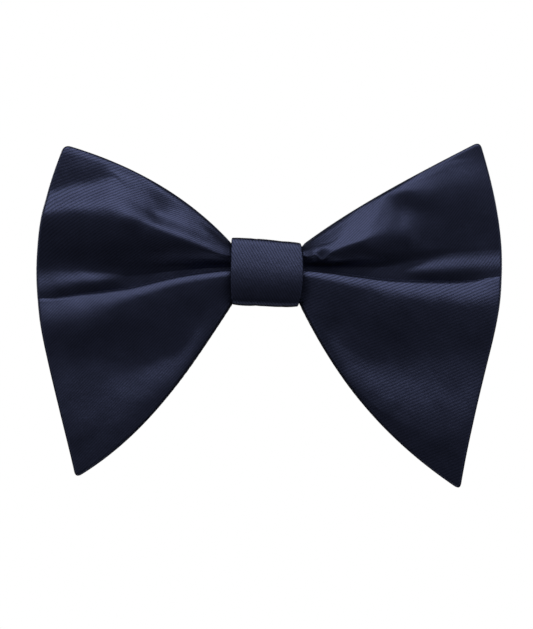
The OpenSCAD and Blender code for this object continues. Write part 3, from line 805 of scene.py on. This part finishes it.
def build_panels():
    """The front and the back panel, which meet along the seam. Each goes from its outer face in by SHELL."""
    left_maps, right_maps = cloth_map(left_grid, -1), cloth_map(right_grid, 1)
    maps = [strip(a, between(a[0], b[0]), b) for a, b in zip(left_maps, right_maps)]
    cells = np.zeros((bow_grid.shape[0] - 1, bow_grid.shape[1] - 1), bool)
    cells[:, CREASE_ROW + 1:] = True
    pieces = []
    for name, height, facing in (("bow_front", front_height, -1), ("bow_back", back_height, 1)):
        outer = in_space(bow_grid, height)
        inner = outer - normals(outer, facing) * SHELL
        seam = MID_Y - seam_height + facing * SEAM_GAP
        keep = np.minimum if facing < 0 else np.maximum
        inner[..., 1] = keep(inner[..., 1], seam)
        for border in (np.s_[0, :], np.s_[-1, :], np.s_[:, 0], np.s_[:, -1]):
            inner[border] = outer[border]
            inner[border][..., 1] = seam[border]
        if facing < 0:
            pieces.append(closed_sheet(name, outer, inner, maps, bow_satin, cells))
        else:
            pieces.append(closed_sheet(name, inner, outer, maps, bow_satin, cells))
    return pieces


bow_front, bow_back = build_panels()
for panel, node in ((bow_front, "bow_front_panel"), (bow_back, "bow_back_panel")):
    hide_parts(node)


def build_interlining():
    """The stiff layer between the panels, cut smaller than the seam."""
    columns, rows = bow_grid.shape[:2]
    c = np.unique(np.linspace(4, columns - 5, 90).astype(int))
    r = np.unique(np.linspace(6, rows - 7, 60).astype(int))
    grid, height = bow_grid[np.ix_(c, r)], seam_height[np.ix_(c, r)]
    half = 0.15
    front, back = in_space(grid, height + half), in_space(grid, height - half)
    return closed_sheet("interlining", front, back, grid, felt)


THREAD_R = 0.13         # radius of the sewing thread


def tube(path, radius, sides=6):
    """Points and faces of a closed tube along a path."""
    path = np.asarray(path, float)
    ahead = np.gradient(path, axis=0)
    ahead /= np.linalg.norm(ahead, axis=1, keepdims=True)
    points, side = [], np.cross(ahead[0], (0.31, 0.17, 0.94))
    for place, direction in zip(path, ahead):
        side = side - direction * (side @ direction)
        side /= np.linalg.norm(side)
        up = np.cross(direction, side)
        for a in np.linspace(0, 2 * math.pi, sides, False):
            points.append(place + radius * (math.cos(a) * side + math.sin(a) * up))
    faces = []
    for i in range(len(path) - 1):
        for k in range(sides):
            m = (k + 1) % sides
            faces.append([i * sides + k, i * sides + m, (i + 1) * sides + m, (i + 1) * sides + k])
    last = (len(path) - 1) * sides
    faces += [list(range(sides))[::-1], list(range(last, last + sides))]
    return points, faces


def many(parts):
    """Joins the points and faces of several parts."""
    points, faces = [], []
    for p, f in parts:
        faces += [[i + len(points) for i in face] for face in f]
        points += list(p)
    return points, faces


def build_edge_thread():
    """Running stitches round the inside of the seam."""
    spaces = in_space(bow_grid, seam_height)
    inset = 4
    lines = [spaces[4:-4, inset], spaces[4:-4, -1 - inset], spaces[inset, 6:-6], spaces[-1 - inset, 6:-6]]
    pitch, stitch = 2.6, 1.7
    stitches = []
    for line in lines:
        total = lengths(line)[-1]
        for start in np.arange(0.5, total - 2.5, pitch):
            at = start + np.linspace(0, stitch, 5)
            stitches.append(tube(along(line, at), THREAD_R))
    return piece("edge_stitches", *many(stitches), thread)


# ---------------------------------------------------------------- the knot
WRAP_T = 0.70           # thickness of the folded wrap
LAYER = 0.80            # step from the wrap's outer layer to the one under it on the back
# The knot's section from the top of its flat back, down, round the bottom, up the front and over the top, in (z, y)
KNOT_SECTION = [
    (7.4, 0.0), (3.0, 0.0), (-3.0, 0.0), (-7.4, 0.0), (-9.4, -0.8), (-10.3, -2.8), (-10.5, -5.6), (-10.5, -8.8),
    (-10.2, -11.2), (-9.0, -12.5), (-6.3, -13.0), (-3.2, -13.1), (0.0, -12.8), (3.4, -12.15), (6.6, -11.35),
    (9.3, -10.5), (10.35, -9.4), (10.5, -6.6), (10.2, -2.8), (9.2, -0.8),
]


def closed_curve(points, per_step=24):
    """A smooth closed curve through the points, kept in front of y = 0, that ends on its first point."""
    p = np.array(points, float)
    n = len(p)
    line = []
    for i in range(n):
        a, b, c, d = p[i - 1], p[i], p[(i + 1) % n], p[(i + 2) % n]
        k = np.linspace(0, 1, per_step, False)[:, None]
        bend, twist = 2 * a - 5 * b + 4 * c - d, 3 * b - a - 3 * c + d
        line.append(0.5 * (2 * b + (c - a) * k + bend * k**2 + twist * k**3))
    line = np.concatenate(line)
    line[:, 1] = np.minimum(line[:, 1], 0)
    return np.concatenate([line, line[:1]])


section_line = closed_curve(KNOT_SECTION)
SECTION = lengths(section_line)[-1]
WRAP_START, WRAP_END = 1.0, SECTION + 12.6      # along the section; the end laps over the start on the back


def on_section(at, inset):
    """Points of the knot's section at the given lengths along it, moved inwards by inset."""
    at = np.asarray(at, float)
    near = 0.15
    d = along(section_line, (at + near) % SECTION) - along(section_line, (at - near) % SECTION)
    d /= np.linalg.norm(d, axis=1, keepdims=True)
    inwards = np.stack([-d[:, 1], d[:, 0]], axis=1)
    return along(section_line, at % SECTION) + inwards * np.asarray(inset)[:, None]


def knot_sides(z):
    """The wrap's left and right sides at a height on the section."""
    return -11.9 + 0.003 * z**2, 11.45 - 0.0105 * (z - 2) ** 2


def slanted(x, z):
    """The wrap is taller below the middle and on the left, and droops to the right."""
    return z * np.where(z < 0, 1.05, 1.0) * (1 - 0.0022 * x) - 0.06 * x


def build_band(name, start, stop, outer_inset, thickness, narrower, material, relief):
    """A band round the knot's section from start to stop, with folded sides.

    outer_inset gives how far in its outer face lies, and relief how far that face dips. narrower scales its width.
    """
    at = np.linspace(start, stop, 260)
    across = np.sin(np.linspace(-1, 1, 61) * math.pi / 2)
    across = np.sign(across) * np.abs(across) ** 0.9
    base = outer_inset(at)
    left, right = knot_sides(on_section(at, base)[:, 0])
    x = (left + right)[:, None] / 2 + (right - left)[:, None] / 2 * across[None] * narrower
    from_side = np.minimum(x - left[:, None] * narrower, right[:, None] * narrower - x)
    radius = thickness / 2
    round_in = radius - np.sqrt(np.clip(radius**2 - np.clip(radius - from_side, 0, radius) ** 2, 0, None))
    round_in = np.minimum(round_in, radius * 0.8)
    sag = 0.35 * np.abs(across[None]) ** 5
    faces = []
    for depth in (round_in + relief(x, at[:, None]), thickness - round_in):
        inset = base[:, None] + depth + sag
        columns = [on_section(at, inset[:, k]) for k in range(x.shape[1])]
        zy = np.stack(columns, axis=1)
        faces.append(np.stack([x, zy[..., 1], slanted(x, zy[..., 0])], axis=-1))
    cloth = np.stack([x, np.repeat(at[:, None], x.shape[1], axis=1)], axis=-1)
    return closed_sheet(name, faces[0], faces[1], cloth, material)


def under_lap(at):
    """The wrap's start lies one layer in, under its end on the back."""
    return LAYER * (1 - smooth((at - 14.5) / 8))


def wrap_relief(x, at):
    """Shallow pleats round the wrap, and slight waves."""
    pleats = 0.10 * np.exp(-(((x + 3.9) / 0.8) ** 2)) + 0.06 * np.exp(-(((x - 4.6) / 1.1) ** 2))
    return pleats + 0.05 * np.sin(x / 2.1 + at / 9)


def under_wrap(at):
    """The lining lies just inside the wrap."""
    return under_lap(at) + WRAP_T + 0.05


def no_relief(x, at):
    return 0 * x * at


def build_knot():
    """The wrap, and the lining inside it."""
    wrap = build_band("knot", WRAP_START, WRAP_END, under_lap, WRAP_T, 1.0, knot_satin, wrap_relief)
    lining = build_band("knot_lining", 2.0, SECTION - 1.0, under_wrap, 0.35, 0.83, felt, no_relief)
    return wrap, lining


def build_lap_stitches():
    """Slip stitches that close the wrap's folded end on the back."""
    end_z = on_section([WRAP_END], [0])[0, 0]
    stitches = []
    for x in np.linspace(-9.4, 9.4, 11):
        z = slanted(x, end_z)
        path = [
            (x - 0.55, -0.35, z + 1.0), (x - 0.4, 0.10, z + 0.8), (x, 0.14, z + 0.1),
            (x + 0.35, -0.35, z - 0.5), (x + 0.5, -0.95, z - 0.8),
        ]
        stitches.append(tube(path, THREAD_R))
    return piece("lap_stitches", *many(stitches), thread)


# ---------------------------------------------------------------- soft layers and threads
interlining = build_interlining()
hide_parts("bow_interlining")
knot_piece, knot_lining = build_knot()
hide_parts("knot_wrap")
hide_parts("knot_interlining")
edge_stitches = build_edge_thread()
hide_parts("edge_seam_thread")
lap_stitches = build_lap_stitches()
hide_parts("knot_seam_stitches")


# ---------------------------------------------------------------- the clip hardware
def repaint(node, material, bevel=None):
    """Gives a CAD node a finish, and breaks its sharp edges where bevel is set, in millimetres."""
    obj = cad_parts[node]
    obj.data.materials.clear()
    obj.data.materials.append(material)
    if bevel:
        modifier = obj.modifiers.new("edges", "BEVEL")
        modifier.width = bevel * MM
        modifier.segments = 2
        modifier.limit_method = "ANGLE"
        modifier.angle_limit = math.radians(35)


def build_spring(side):
    """A torsion spring round the hinge pin, drawn as a smooth wire. Its ends press on the base and the lever."""
    mirror = -1 if side == "left" else 1
    pin = np.mean(box_mm(side + "_hinge_pin"), axis=0)
    coil_r, half, turns, per_turn, wire_r = 1.35, 1.4, 3.5, 28, 0.24
    steps = int(turns * per_turn)
    coil = []
    for i in range(steps + 1):
        a = 2 * math.pi * i / per_turn - math.pi / 2
        coil.append((coil_r * math.cos(a), coil_r * math.sin(a), half * (2 * i / steps - 1)))
    path = [(-4.4, -2.02, -half), (-2.6, -1.72, -half), (-1.2, -1.47, -half), (-0.6, -1.40, -half)] + coil[1:-1]
    path += [(-0.6, 1.38, half), (-1.2, 1.37, half), (-3.2, 1.5, half), (-5.4, 1.72, half)]
    points, faces = tube(np.array(path), wire_r, 8)
    points = np.array(points) * (mirror, 1, 1) + pin
    if mirror < 0:
        faces = [f[::-1] for f in faces]
    spring = piece(side + "_spring", points, faces, spring_wire, body=None)
    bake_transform(spring)
    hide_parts(side + "_torsion_spring")


for side in ("left", "right"):
    build_spring(side)
    repaint(side + "_swivel_rivet", nickel, 0.05)
    repaint(side + "_clip_base", nickel, 0.12)
    repaint(side + "_clip_lever", nickel, 0.12)
    repaint(side + "_hinge_pin", nickel, 0.10)
    repaint(side + "_grip_pad", vinyl, 0.08)
repaint("carrier_bar", nickel, 0.12)
repaint("waist_thread", thread)
